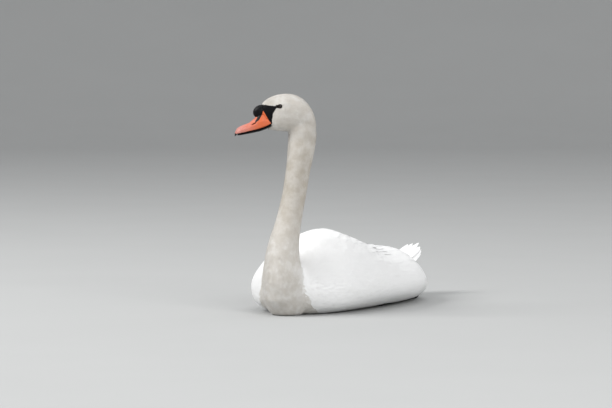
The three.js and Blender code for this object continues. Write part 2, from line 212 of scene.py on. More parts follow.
def add_rump(bm):
    """The flesh at the root of the tail, a flattened egg that leans up behind."""
    made = bmesh.ops.create_uvsphere(bm, u_segments=24, v_segments=16, radius=1)["verts"]
    place = Matrix.Translation(rump_middle) @ Matrix.Rotation(RUMP_LIFT, 4, "X") @ Matrix.Diagonal((*RUMP_SIZE, 1))
    bmesh.ops.transform(bm, matrix=place, verts=made)


# The root of the neck stands on the ground before the breast. Its height, its middle and its radius, in mm.
NECK_ROOT = np.array([(0, -6, -275, 41), (16, -6, -287, 43), (30, -6, -295, 44), (60, -6, -303, 45),
                      (98, -3, -308, 41), (143, 0, -305, 35), (192, 0, -280, 29), (247, 0, -254, 28)]) * MM


def beyond_neck(places):
    """How far places are outside the lower neck, as if it stood upright. It is a little longer than wide."""
    x, y, radius = (np.interp(places[:, 2], NECK_ROOT[:, 0], column) for column in NECK_ROOT[:, 1:].T)
    out = np.hypot(places[:, 0] - x, 0.88 * (places[:, 1] - y)) - radius
    return np.where(places[:, 2] < NECK_ROOT[-1, 0], out, 0)


def keep_side(bm, level, above):
    """Cuts a bmesh level and keeps what is above or below the cut."""
    everything = [*bm.verts, *bm.edges, *bm.faces]
    bmesh.ops.bisect_plane(bm, geom=everything, plane_co=(0, 0, level), plane_no=(0, 0, 1), dist=1e-7,
                           clear_inner=above, clear_outer=not above)


body = copy_of(FLESH_OF_BODY)
add_rump(body)
body = wrapped(body, BODY_SQUARE)
points, edges = arrays_of(body)
crease = (1 - np.abs(beyond_neck(points)) / (22 * MM)).clip(0, 1)[:, None]
soft, firm = (smoothed(points, edges, rounds) for rounds in (BODY_ROUNDS, CREASE_ROUNDS))
put_points(body, soft + (firm - soft) * crease)
keep_side(body, cut_level - CUT_GAP, above=False)

head = wrapped(copy_of(FLESH_OF_HEAD), HEAD_SQUARE)
points, edges = arrays_of(head)
hard = copy_of(["bill_upper", "bill_lower", "bill_knob"])
hard_tree = BVHTree.FromBMesh(hard)
hard.free()
freedom = np.array([min(hard_tree.find_nearest(Vector(p))[3] / BILL_EDGE, 1) for p in points])[:, None]
soft = smoothed(points, edges, HEAD_ROUNDS)
put_points(head, points + (soft - points) * freedom)
keep_side(head, cut_level + CUT_GAP, above=True)

joined_mesh = bpy.data.meshes.new("joined")
head.to_mesh(joined_mesh)
body.from_mesh(joined_mesh)
head.free()
flesh = body
bmesh.ops.bridge_loops(flesh, edges=[e for e in flesh.edges if e.is_boundary])
bmesh.ops.recalc_face_normals(flesh, faces=flesh.faces)
print("body and head joined:", len(flesh.faces), "faces,", sum(e.is_boundary for e in flesh.edges), "open edges")

# %% [markdown]
# ## The lie of the coat
# On a real bird every feather points away from the bill: back over the crown, down the neck, round the breast
# and on towards the tail. A line through the middle of the bird from the bill to the tail gives that direction.
# At any place on the body the coat lies along the nearest part of the line, flattened onto the surface.
#
# The same line carries what changes along the bird: how deep the coat is, how far apart its feathers grow, how
# long and how wide they are, and how far the plumage is stained by what the bird feeds in. Swans stain the head
# and the neck, which they dip in mud and iron-rich water, and keep the body white. The same number also makes
# the root of the neck, down to the ground, greyer than the body.

# %% The middle line and what changes along it
SLAB = 8 * MM


def neck_middle_at(level):
    """The middle of the neck at a height, from the CAD neck's own points near it."""
    near = []
    for node in ("neck_lower", "neck_middle", "neck_upper"):
        near += [v.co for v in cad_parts[node].data.vertices if abs(v.co.z - level * MM) < SLAB]
    return sum(near, Vector()) / len(near)


def on_trunk(y, z):
    return Vector((0, y * MM, z * MM))


# The place, then the coat's depth, the distance between roots, a feather's length and half its width, all in
# millimetres, and the stain from 0, white, to 1, which at the root of the neck makes the plumage greyer than the
# body.
BIRD_LINE = [
    (from_head(60, -30), 0.3, 1.0, 4.0, 0.8, 0.80),
    (from_head(36, -12), 0.4, 1.0, 4.4, 0.8, 0.65),
    (from_head(0, -14), 0.7, 1.15, 6.5, 0.95, 0.58),
    (from_head(-36, -18), 1.1, 1.3, 8.5, 1.05, 0.55),
    (from_head(-60, -40), 1.5, 1.6, 11, 1.2, 0.60),
    (neck_middle_at(375), 2.0, 1.9, 14, 1.4, 0.72),
    (neck_middle_at(300), 2.4, 2.3, 17, 1.75, 0.90),
    (neck_middle_at(225), 2.8, 2.8, 20, 2.2, 0.82),
    (neck_middle_at(150), 3.2, 3.6, 22, 2.9, 0.60),
    # From here to the front of the breast the last number makes the neck's root greyer than the body, down to the
    # ground.
    (on_trunk(-306, 98), 3.6, 4.6, 24, 4.2, 0.55),
    (on_trunk(-290, 58), 4.0, 5.4, 28, 5.2, 0.50),
    (on_trunk(-240, 52), 4.4, 6.2, 32, 6.2, 0.45),
    (on_trunk(-150, 64), 4.8, 7.0, 36, 7.2, 0.0),
    (on_trunk(0, 68), 5.0, 7.6, 38, 7.8, 0.0),
    (on_trunk(150, 66), 5.0, 7.6, 40, 7.8, 0.0),
    (on_trunk(250, 72), 4.6, 7.0, 38, 7.0, 0.0),
    (on_trunk(340, 96), 4.0, 6.2, 36, 6.2, 0.0),
]
STEP = 5 * MM
LINE_ROUNDS = 60
NEARNESS = 4 * MM  # a place closer to a stop than this gains no more from it
PART = 4000
DEPTH, SPACING, LENGTH, HALF, STAIN = range(5)

corners = np.array([row[0][:] for row in BIRD_LINE])
reach = np.concatenate([[0], np.cumsum(np.linalg.norm(np.diff(corners, axis=0), axis=1))])
stops = np.arange(0, reach[-1], STEP)
line = np.stack([np.interp(stops, reach, corners[:, k]) for k in range(3)], 1)
pairs = np.array([[i, i + 1] for i in range(len(line) - 1)])
ends = line[[0, -1]]
line = blurred(line, pairs, LINE_ROUNDS)
line[[0, -1]] = ends
heading = np.gradient(line, axis=0)
heading /= np.linalg.norm(heading, axis=1)[:, None]
traits = np.array([row[1:] for row in BIRD_LINE])
line_traits = np.stack([np.interp(stops, reach, traits[:, k]) for k in range(5)], 1)
print("the middle line is", round(reach[-1] / MM), "mm long")


def unit(vectors):
    return vectors / np.maximum(np.linalg.norm(vectors, axis=-1, keepdims=True), 1e-9)


def pull_of(places):
    """How much each stop of the middle line tells at each place: the near ones nearly everything."""
    apart = ((places[:, None] - line[None]) ** 2).sum(2)
    pull = (apart + NEARNESS**2) ** -3
    return pull / pull.sum(1, keepdims=True)


def in_parts(work, places):
    """Runs work on a few thousand places at a time, because all of them together wouldn't fit."""
    parts = range(0, len(places), PART)
    return np.concatenate([work(places[i:i + PART]) for i in parts])


def lie_at(places, normals):
    """The direction in which the coat lies at places on the surface. Behind the neck it is straight back."""
    flow = in_parts(lambda p: pull_of(p) @ heading, places)
    behind = (beyond_neck(places) / (7 * MM)).clip(0, 1) * ((places[:, 1] + 315 * MM) / (40 * MM)).clip(0, 1)
    flow += (np.array([0, 1, 0]) - flow) * behind[:, None]
    return unit(flow - normals * (flow * normals).sum(1, keepdims=True))


def traits_at(places):
    return in_parts(lambda p: pull_of(p) @ line_traits, places)


FLARE_LEVELS = np.array((0, 37, 59, 77, 100)) * MM
FLARE = np.array((24, 15, 7, 4, 0)) * MM  # how much wider than the neck's root the grey reaches, near the ground


def stain_at(places):
    """How far the plumage is stained on the head and the neck, and how much greyer it is at the neck's root, wider
    near the ground; no further, so the body stays white.
    """
    fade = 6 * MM + 0.15 * (places[:, 2] - 100 * MM).clip(0)
    flare = np.interp(places[:, 2], FLARE_LEVELS, FLARE)
    return traits_at(places)[:, STAIN] * (1 - (beyond_neck(places) - flare) / fade).clip(0, 1)


# %% [markdown]
# ## The skin
# The skin lies inside the outline by the depth of the coat, so that the feathers end where the bird's outline
# is. Round the eye it is bare: it dips under the eyeball and rises again into a rim, which makes the lids. The
# bare black skin between eye and bill, the lores, keeps its place too, because nothing grows there.
#
# The edge of the bare skin is drawn with a few knots, ahead of the eye and above it, since it is a boundary
# between two kinds of skin and not a painted line. Both the skin and the coat ask the same function.

# %% Bare skin
BARE_TOP = ([-5, 5, 14, 24, 32, 46], [1.5, 3.2, 2.4, 2.6, 3.6, 4.5])  # its upper edge over distance ahead
BARE_REAR = ([-52, -43, -39, -36, -31, -16, -4, 6], [44, 26, 19, 17, 16.5, 14, 7, 3])  # its rear edge over height
LID_ROUND = 4.7  # of the black ring round the eye
ALMOND = 1.12  # the eye's opening is longer than it is high


def eye_distance(places):
    """How far places are from the nearer eye's axis, in millimetres."""
    ahead, up, left = in_head(places).T
    return np.where(np.abs(left) > 8, np.hypot(ahead / ALMOND, up), 99)


def inside_bare(places):
    """How far places are inside the bare black skin of the face, in millimetres, and negative outside it."""
    ahead, up, left = in_head(places).T
    below_top = np.interp(ahead, *BARE_TOP) - up
    past_rear = ahead - np.interp(up, *BARE_REAR)
    inside = np.minimum(np.minimum(below_top, past_rear), 60 - ahead)
    inside = np.maximum(inside, LID_ROUND - eye_distance(places))
    return np.where((ahead < -12) | (up < -56), -9, inside)


def bareness(places, soft=0.8):
    """1 on bare skin and 0 elsewhere, with a soft edge in millimetres. It ends just under the first feathers.
    Behind the eye they lean away from it, so there it ends sooner."""
    under = np.interp(in_head(places)[:, 0], (-4, 1), (0.3, 1.4))
    return np.clip((inside_bare(places) + under) / soft + 0.5, 0, 1)


# %% Where the bill is black
CUTTING_EDGE = ([14, 17, 26, 36, 50, 70, 95], [-34, -37, -42, -46.6, -50.8, -55.4, -60.8])
LORE_EDGE = ([-37, -34, -9.2], [17.5, 20.6, 35.6])
KNOB_EDGE = ([-35.4, -33.9, -29.9, -20.2, -9.2], [51.5, 50, 44.4, 38.7, 35.6])
NOSTRIL = (52, -35.6)  # where the slit of the nostril begins
NOSTRIL_EDGE = ([-35.4, -31, -24, -20], [52.5, 52, 48, 54])


def blackness(points):
    """1 where the horn is black: round the knob and down to the nostrils, by the lores and along its edge. It is
    soft over four millimetres, and the finish draws a sharp line where it passes a half."""
    ahead, up, left = in_head(points).T
    by_knob = np.minimum(ahead - np.interp(up, *KNOB_EDGE), np.interp(up, *NOSTRIL_EDGE) - ahead)
    by_knob = np.minimum(by_knob, up + 35.6)
    by_lores = np.interp(up, *LORE_EDGE) - ahead
    by_edge = np.interp(ahead, *CUTTING_EDGE) + 1.3 - up
    by_nostril = 0.9 - np.hypot(np.minimum(ahead - NOSTRIL[0], 0) + np.maximum(ahead - NOSTRIL[0] - 7, 0),
                                up - NOSTRIL[1] + 0.55 * (ahead - NOSTRIL[0]).clip(0, 7))
    return np.clip(np.max([by_knob, by_lores, by_edge, by_nostril, up + 10.5], axis=0) / 4 + 0.5, 0, 1)


# %% The lids, and the skin inside the coat
EYEBALL = (Vector(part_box("eye_left")[1]).z - Vector(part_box("eye_left")[0]).z) / 2 / MM
EYE_OUT = in_head([eyes["left"][:]])[0][2]
OPENING = 3.6  # half the height of the opening
RIM_SOFT = 0.5  # half the width over which the skin rises into the rim
RIM_WIDTH = 0.6
RIM_HIGH = 1.0  # over the ball
UNDER_BALL = 1.6  # how deep the skin runs inside the ball's surface
LID_END = 8.0


def refine(wanted):
    """Divides the faces of the flesh whose corners are all wanted."""
    here = wanted(arrays_of(flesh)[0])
    fine = [f for f in flesh.faces if all(here[v.index] for v in f.verts)]
    finer = list({e for f in fine for e in f.edges})
    bmesh.ops.subdivide_edges(flesh, edges=finer, cuts=1, use_grid_fill=True)


def on_marking(places):
    """On the face's skin, along the edge between black and orange."""
    return (np.abs(blackness(places) - 0.5) < 0.45) & (inside_bare(places) > -1)


def near_eye(places, within):
    return (eye_distance(places) < within) & (places[:, 2] > cut_level)


def eased(share):
    """A share from 0 to 1 that starts and ends gently."""
    share = np.clip(share, 0, 1)
    return share * share * (3 - 2 * share)


refine(on_marking)
for _ in range(2):
    refine(lambda places: near_eye(places, LID_END + 1))
bmesh.ops.triangulate(flesh, faces=[f for f in flesh.faces if len(f.verts) > 4])
points, _ = arrays_of(flesh)
on_lids = near_eye(points, LID_END)
out = in_head(points[on_lids])[:, 2]
free = np.abs(out)
away = eye_distance(points[on_lids])
under = EYE_OUT + np.sqrt(np.maximum(EYEBALL**2 - away**2, 0)) - UNDER_BALL
rim_top = EYE_OUT + math.sqrt(EYEBALL**2 - OPENING**2) + RIM_HIGH
lid = under + (rim_top - under) * eased((away - OPENING + RIM_SOFT) / (2 * RIM_SOFT))
lid = lid + (free - lid) * eased((away - OPENING - RIM_WIDTH) / (LID_END - OPENING - RIM_WIDTH))
points[on_lids] += (head_axes[2] * ((lid - free) * np.sign(out))[:, None]) * MM
put_points(flesh, points)
bmesh.ops.recalc_face_normals(flesh, faces=flesh.faces)
flesh.normal_update()
print("eyeball", round(EYEBALL, 1), "mm, skin of", len(flesh.faces), "faces with the lids")


# %% The form that feathers lie on
flesh_points, flesh_edges = arrays_of(flesh)
flesh_faces = [[v.index for v in f.verts] for f in flesh.faces]
triangles = np.array([[v.vert.index for v in corner] for corner in flesh.calc_loop_triangles()])
form_tree = BVHTree.FromPolygons(flesh_points.tolist(), triangles.tolist())
flesh_normals = np.array([v.normal[:] for v in flesh.verts])
form_normals = unit(blurred(flesh_normals, flesh_edges, 3))


def ground(places):
    """The nearest places on the form, and the surface's directions there, smooth across its faces."""
    hits = [form_tree.find_nearest(place) for place in places.tolist()]
    found = np.array([hit[0][:] for hit in hits])
    corner = triangles[[hit[2] for hit in hits]]
    a, b, c = (flesh_points[corner[:, k]] for k in range(3))
    across = np.cross(b - a, c - a)
    size = np.maximum((across**2).sum(1), 1e-24)
    share_b = (np.cross(found - a, c - a) * across).sum(1) / size
    share_c = (np.cross(b - a, found - a) * across).sum(1) / size
    shares = np.stack([1 - share_b - share_c, share_b, share_c], 1).clip(0, 1)
    return found, unit((form_normals[corner] * shares[:, :, None]).sum(1))


# %% The skin, with the legs and feet
LEG_NODES = ["leg_left", "foot_left", "leg_right", "foot_right"]
LEG_SQUARE = 1.9 * MM
FLOOR_ROOM = 0.5 * MM  # nothing of the skin or the coat comes nearer to the floor
FLOOR_SQUASH = 1.5 * MM  # above that, what would be lower is pressed flat


def off_floor(heights):
    """Heights pressed flat above the floor, so that what lies over something else there still does."""
    knee = FLOOR_ROOM + FLOOR_SQUASH
    return np.where(heights < knee, FLOOR_ROOM + FLOOR_SQUASH * np.exp((heights - knee) / FLOOR_SQUASH), heights)


def set_values(mesh, name, values):
    """Gives each point of a mesh a number that its material reads by name."""
    mesh.attributes.new(name, "FLOAT", "POINT").data.foreach_set("value", np.asarray(values, dtype=np.float32))


form_traits = traits_at(flesh_points)
bare = bareness(flesh_points)
near_bill = np.array([min(hard_tree.find_nearest(Vector(p))[3] / (3 * MM), 1) if p[2] > cut_level else 1
                      for p in flesh_points])
sink = form_traits[:, DEPTH] * (1 - bare) * near_bill * MM
skin_points = flesh_points - form_normals * sink[:, None]
sunk = np.minimum(sink / (2 * MM), 1)[:, None]
skin_points += (blurred(skin_points, flesh_edges, 4) - skin_points) * sunk
skin_points[:, 2] = off_floor(skin_points[:, 2])

legs = wrapped(copy_of(LEG_NODES), LEG_SQUARE)
leg_points, leg_edges = arrays_of(legs)
leg_points = leg_points + (blurred(leg_points, leg_edges, 2) - leg_points)
leg_faces = [[v.index + len(skin_points) for v in f.verts] for f in legs.faces]
legs.free()

skin_mesh = bpy.data.meshes.new("skin")
skin_mesh.from_pydata(np.concatenate([skin_points, leg_points]), [], flesh_faces + leg_faces)
none = np.zeros(len(leg_points))
set_values(skin_mesh, "stain", [*stain_at(flesh_points), *none])
set_values(skin_mesh, "bare", [*bareness(flesh_points, 4), *none])
set_values(skin_mesh, "tone", np.full(len(skin_mesh.vertices), 0.5))
set_values(skin_mesh, "horn", [*(1 - blackness(flesh_points)), *none])
skin_mesh.shade_smooth()
skin = linked("skin", skin_mesh)
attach(skin, "root")
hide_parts(*FLESH_OF_BODY, "head", *LEG_NODES)
print("skin:", len(skin_mesh.polygons), "faces")

# %% [markdown]
# ## Patterns for feathers
# A feather is a vane of barbs on a shaft: long, rounded at the end, thin at its edges and a little humped along
# the middle. One flat pattern stands for a kind of feather, cut from a grid that is drawn out to the vane's
# outline. It has two faces that meet at the rim, so that each copy is solid. Copies are then bent over the body.
#
# Thousands of copies need few faces each: a small tuft on the head has a dozen, a long wing feather some fifty.

# %% A feather's pattern
def vane(stations, widths, columns, round_tip=0.0, fray=0.0):
    """A lens-shaped plate: x along it from 0 to 1, y across it from -1 to 1, z its thickness, none at the rim."""
    bm = bmesh.new()
    rows = len(stations) - 1
    bmesh.ops.create_grid(bm, x_segments=rows, y_segments=columns - 1, size=1)
    made = bmesh.ops.extrude_face_region(bm, geom=bm.faces[:])["geom"]
    lid = [v for v in made if isinstance(v, bmesh.types.BMVert)]
    bmesh.ops.translate(bm, verts=lid, vec=(0, 0, 1))
    for v in bm.verts:
        row = round((v.co.x + 1) / 2 * rows)
        column = round((v.co.y + 1) / 2 * (columns - 1))
        x = stations[row]
        across = v.co.y
        notch = fray * (column % 2) if row == rows else 0
        thin = 0 if row in (0, rows) else (1 - across**2) * (1 - 0.5 * x)
        v.co = (x - round_tip * x**4 * across**2 - notch, across * widths[row], (v.co.z - 0.5) * thin)
    bmesh.ops.remove_doubles(bm, verts=bm.verts, dist=0.001)
    bmesh.ops.recalc_face_normals(bm, faces=bm.faces)
    points, _ = arrays_of(bm)
    faces = [[v.index for v in f.verts] for f in bm.faces]
    bm.free()
    return points, faces, np.array(stations)


TUFT = vane([0, 0.4, 0.8, 1], [0.5, 1, 0.95, 0.45], 3, round_tip=0.12)
PLUME = vane([0, 0.35, 0.65, 0.88, 1], [0.4, 0.9, 1, 0.85, 0.4], 5, round_tip=0.08, fray=0.03)
CONTOUR = vane([0, 0.35, 0.6, 0.82, 0.95, 1], [0.4, 0.9, 1, 0.92, 0.66, 0.4], 5, round_tip=0.08, fray=0.02)
COVERT = vane([0, 0.25, 0.5, 0.7, 0.85, 0.95, 1], [0.35, 0.8, 1, 0.98, 0.84, 0.55, 0.25], 5, round_tip=0.04,
              fray=0.01)
QUILL = vane([0, 0.2, 0.4, 0.6, 0.78, 0.9, 0.97, 1], [0.3, 0.7, 0.95, 1, 0.9, 0.68, 0.42, 0.2], 5, round_tip=0.02)
for name, pattern in (("tuft", TUFT), ("plume", PLUME), ("contour", CONTOUR), ("covert", COVERT), ("quill", QUILL)):
    print(name, len(pattern[0]), "points,", len(pattern[1]), "faces")

# %% [markdown]
# ## Laying feathers
# Each feather starts at its root, in the skin, and is laid in steps: a step along the lie of the coat, down to
# the surface again, and so on to the tip. Its edges are laid on the surface too. It rises from the skin at its
# root to the outline at its tip, so that it covers the roots behind it as a roof tile does. No two feathers
# turn or rise quite alike.

# %% Roots and laying
CANDIDATES = 9  # for each root that there is room for


def roots_for(spacing, wanted):
    """Places on the form a spacing apart, with no rows: shuffled candidates, each of which clears its round."""
    a, b, c = (flesh_points[triangles[:, k]] for k in range(3))
    middle = (a + b + c) / 3
    area = np.linalg.norm(np.cross(b - a, c - a), axis=1) / 2
    here = wanted(middle)
    gap = spacing(middle[here])
    density = area[here] / gap**2
    count = int(CANDIDATES * density.sum())
    pick = np.nonzero(here)[0][chance.choice(len(density), count, p=density / density.sum())]
    u, v = np.sqrt(chance.random(count)), chance.random(count)
    places = a[pick] * (1 - u)[:, None] + b[pick] * (u * (1 - v))[:, None] + c[pick] * (u * v)[:, None]
    rounds = spacing(places)
    tree = KDTree(count)
    for i, place in enumerate(places.tolist()):
        tree.insert(place, i)
    tree.balance()
    free = np.ones(count, dtype=bool)
    kept = []
    for i, place in enumerate(places.tolist()):
        if free[i]:
            kept.append(i)
            for _, j, _ in tree.find_range(place, rounds[i]):
                free[j] = False
    return places[kept]


def lay(pattern, roots, length, half, depth, rise, thick, turn=0.1, tilt=0.0):
    """Copies of a pattern laid on the form from their roots. Sizes are in metres, one for each root. A tilt
    raises the left edge of each and lowers its right edge, so that it lies over its neighbour."""
    points, _, stations = pattern
    nearest = np.abs(points[:, :1] - stations).argmin(1)
    places, place_of = np.unique(points[:, :2].round(4), axis=0, return_inverse=True)
    at, normal = ground(roots)
    flow = lie_at(at, normal)
    flow = unit(flow + np.cross(normal, flow) * chance.normal(0, turn, len(roots))[:, None])
    high = rise + 0.25 * thick * chance.normal(0, 1, len(roots))
    spots = np.empty((len(roots), len(points), 3))
    for k, s in enumerate(stations):
        if k:
            at, normal = ground(at + flow * (length * (s - stations[k - 1]))[:, None])
            flow = unit(2 * flow + lie_at(at, normal))
            flow = unit(flow - normal * (flow * normal).sum(1, keepdims=True))
        aside = np.cross(normal, flow)
        lift = high * s - depth * (1 - s) ** 3
        for i in np.unique(place_of[nearest == k]):
            x, y = places[i]
            foot, up = ground(at + aside * (y * half)[:, None] + flow * ((x - s) * length)[:, None])
            for v in np.nonzero(place_of == i)[0]:
                spots[:, v] = foot + up * (lift + y * tilt + points[v, 2] * thick)[:, None]
    spots[:, :, 2] = off_floor(spots[:, :, 2])
    return spots, pattern, roots


# %% [markdown]
# ## The map of the coat
# The coat carries a map for its colours. The body is unrolled round its middle line: along the line
# is one way on the map, and round it, from the belly over the back to the belly again, is the other. Each
# feather is a small patch at its root's place.

# %% The unwrap round the middle line
along = np.linspace(0, 1, len(line))[:, None] ** 0.7
side_of_line = unit(np.array(leftward) * (1 - along) + np.array([1, 0, 0]) * along)
back_of_line = unit(np.cross(side_of_line, heading))
PATCH = 0.003
SHARP = math.radians(50)
SHOWN = 0.6  # beyond this share of its length a feather isn't hidden by its neighbours


def at_root(roots):
    """A root's place on the unwrap, from 0 to 1 along the bird and round it."""
    pull = in_parts(pull_of, roots)
    out = roots - pull @ line
    back, left = ((out * (pull @ axis)).sum(1) for axis in (back_of_line, side_of_line))
    return np.stack([np.arctan2(left, back) / (2 * math.pi) + 0.5, pull @ stops / stops[-1]], 1)


def coat_piece(name, layers):
    """One mesh of all the feathers of some layers, with their maps and the numbers that their finish reads."""
    spots, faces, maps, vanes, roots, stains = [], [], [], [], [], []
    start = 0
    for places, (points, pattern_faces, _), rooted in layers:
        count, size = places.shape[:2]
        shown = places[:, points[:, 0] > SHOWN].mean(1)
        stains.append(np.repeat(stain_at(shown), size))
        spots.append(places.reshape(-1, 3))
        shift = start + size * np.arange(count)
        faces += [[i + s for i in face] for s in shift.tolist() for face in pattern_faces]
        level = 1 - 0.4 * (points[:, 2] < 0)  # the underside's patch is smaller
        patch = np.stack([points[:, 1], 2 * points[:, 0] - 1], 1) * (PATCH / 2 * level)[:, None]
        roots.append(np.repeat(at_root(rooted), size, axis=0))
        maps.append(np.tile(patch, (count, 1)))
        vanes.append(np.tile(np.stack([points[:, 1] / 2 + 0.5, points[:, 0]], 1), (count, 1)))
        start += count * size
    spots, roots, maps, vanes = (np.concatenate(a) for a in (spots, roots, maps, vanes))
    low, high = roots.min(0), roots.max(0)
    maps += 0.01 + 0.98 * (roots - low) / (high - low)
    mesh = bpy.data.meshes.new(name)
    mesh.from_pydata(spots, [], faces)
    corner = np.empty(len(mesh.loops), dtype=np.int32)
    mesh.loops.foreach_get("vertex_index", corner)
    for title, places in (("OFBake", maps), ("Vane", vanes)):
        mesh.uv_layers.new(name=title).data.foreach_set("uv", places[corner].astype(np.float32).ravel())
    feather = np.unique(roots, axis=0, return_inverse=True)[1].ravel()
    set_values(mesh, "tone", chance.random(feather.max() + 1)[feather])
    set_values(mesh, "stain", np.concatenate(stains))
    mesh.shade_smooth()
    mesh.set_sharp_from_angle(angle=SHARP)
    piece = linked(name, mesh)
    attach(piece, "root")
    print(name, sum(len(places) for places, *_ in layers), "feathers,", sum(len(f) - 2 for f in faces), "triangles")
    return piece


# %% [markdown]
# ## The small feathers
# The face is velvet: feathers of four or five millimetres. They grow longer down the neck and become the scales
# of the breast and the flanks. What is near a root on the middle line says how long and how far apart.


# %% The coat of the head, the neck and the trunk
COATED = ("mantle", "wing_left", "wing_right", "wing_tip_left", "wing_tip_right", "trunk", "neck_lower")
CAD_TREES = {node: BVHTree.FromBMesh(copy_of([node])) for node in COATED}
LEG_ROOM = 5 * MM


def nearest_node(places):
    far = np.array([[tree.find_nearest(p)[3] for tree in CAD_TREES.values()] for p in places.tolist()])
    return np.array(COATED)[far.argmin(1)]


def stops_at(places):
    return in_parts(lambda p: pull_of(p) @ (stops / stops[-1]), places)


def spacing_at(places):
    return traits_at(places)[:, SPACING] * MM


def cover(pattern, roots, rise, thick, turn=0.1, longer=1.0, wider=1.0):
    traits_here = traits_at(roots) * MM
    wobble = chance.normal(1, 0.07, len(roots))
    return lay(pattern, roots, traits_here[:, LENGTH] * wobble * longer, traits_here[:, HALF] * wider,
               traits_here[:, DEPTH] * (-inside_bare(roots) / 5).clip(0.1, 1), rise, thick, turn)


leg_copy = copy_of(LEG_NODES)
leg_tree = BVHTree.FromBMesh(leg_copy)
leg_copy.free()
HEAD_END = stops_at(np.array([neck_middle_at(372)[:]]))[0]
NECK_END = stops_at(np.array([on_trunk(-300, 80)[:]]))[0]


def on_head(places):
    return (stops_at(places) < HEAD_END) & (inside_bare(places) < 1.2) & (places[:, 2] > cut_level)


def past_eye(roots, length, room):
    """Which roots' feathers don't run over the lids, with room for half their width."""
    at, normal = ground(roots)
    flow = lie_at(at, normal) * length * MM
    return np.min([eye_distance(at + flow * k) for k in (0, 0.35, 0.7, 1)], axis=0) > LID_ROUND + room


def on_neck(places):
    s = stops_at(places)
    return (s >= HEAD_END) & (s < NECK_END)


def off_legs(places):
    return np.array([leg_tree.find_nearest(p)[3] > LEG_ROOM for p in places.tolist()])


def split_coats(names, where, pattern, spacing, rise, thick, part_of, wider=1.0):
    """Coats of small feathers over a part of the bird, one for each name, each with broad tufts under it."""
    top = roots_for(spacing, where)
    down = roots_for(lambda places: 2 * spacing_at(places), where)
    if where is on_head:
        top, down = top[past_eye(top, 6.5, 0.4)], down[past_eye(down, 8, 1.4)]
    pieces = []
    for number, name in enumerate(names):
        over, beneath = (roots[part_of(roots) == number] for roots in (top, down))
        high = rise * (1 + 5 * (2 - eye_distance(over) / 5).clip(0, 1))  # clear of the lids
        layers = [cover(pattern, over, high, thick, 0.08, 1.0, wider),
                  cover(TUFT, beneath, -1.2 * rise, thick, 0.1, 1.1, 2.0)]
        pieces.append(coat_piece(f"coat_{name}", layers))
    return pieces


print("head ends at", round(HEAD_END, 2), "and the neck at", round(NECK_END, 2))
head_coats = split_coats(["head_left", "head_right"], on_head, TUFT, spacing_at, 0.06 * MM,
                         0.15 * MM, lambda roots: (in_head(roots)[:, 2] < 0) * 1)
neck_coats = split_coats(["neck_upper", "neck_lower"], on_neck, PLUME, spacing_at, 0.05 * MM,
                         0.2 * MM, lambda roots: (roots[:, 2] < 270 * MM) * 1, 1.2)


def on_trunk_only(places):
    """Below the wings and the mantle, behind the neck, clear of the legs."""
    here = (stops_at(places) >= NECK_END) & off_legs(places)
    here[here] &= np.isin(nearest_node(places[here]), ("trunk", "neck_lower"))
    return here


def trunk_spacing(places):
    """Wider on the flat underneath, where nothing shows."""
    return spacing_at(places) * np.where(places[:, 2] < 3 * MM, 1.7, 1)


trunk_coats = split_coats(["breast", "flank_left", "flank_right"], on_trunk_only, CONTOUR,
                          trunk_spacing, 0.25 * MM, 0.5 * MM,
                          lambda roots: np.where(roots[:, 1] < -170 * MM, 0, np.where(roots[:, 0] > 0, 1, 2)))

# %% [markdown]
# ## The folded wings
# A folded wing is a stack of fans that slide over each other. From its bend beside the breast come the lesser
# coverts, small and scaly. Then come rows of longer feathers: the greater coverts, the inner flight feathers,
# and behind them the tips of the outer ones, which cross over the rump. The shoulder feathers lie over it all
# from the middle of the back. Each row is laid from a line of roots, and the small ones are scattered.

# %% The wings and the mantle
def sized(roots, first, last, y_first, y_last):
    """A size in millimetres that changes along the bird, from first at y_first to last at y_last."""
    return np.interp(roots[:, 1], [y_first * MM, y_last * MM], [first * MM, last * MM])


def wing_part(node, y_from, y_to):
    def wanted(places):
        here = (places[:, 1] > y_from * MM) & (places[:, 1] < y_to * MM) & (places[:, 2] > 20 * MM)
        here[here] &= nearest_node(places[here]) == node
        return here
    return wanted


def row(start, end, count, side=1, loose=2):
    """Roots in a row between two places in millimetres, on the form. side -1 mirrors them to the right. A loose
    row's roots stand out of line, so that its feathers don't end along one ledge."""
    share = np.linspace(0, 1, count)[:, None]
    places = (np.array(start) * (1 - share) + np.array(end) * share) * (side * MM, MM, MM)
    places[:, 1] += loose * MM * chance.normal(0, 1, count)
    return ground(places)[0]


def full(roots, size, vary=0.0):
    return size * MM * chance.normal(1, vary, len(roots))


def laid(pattern, roots, length, vary, half, rise, thick, turn, tilt=0.0, depth=4):
    """Feathers of one kind and size, in millimetres, whose lengths vary by a share."""
    sizes = full(roots, length, vary), full(roots, half), full(roots, depth)
    return lay(pattern, roots, *sizes, rise * MM, thick * MM, turn, tilt * MM)


def scaly(roots, lengths, halves, y_range, rise):
    """Small feathers that grow longer and wider along the bird."""
    return lay(CONTOUR, roots, sized(roots, *lengths, *y_range), sized(roots, *halves, *y_range), full(roots, 5),
               rise * MM, 0.6 * MM)


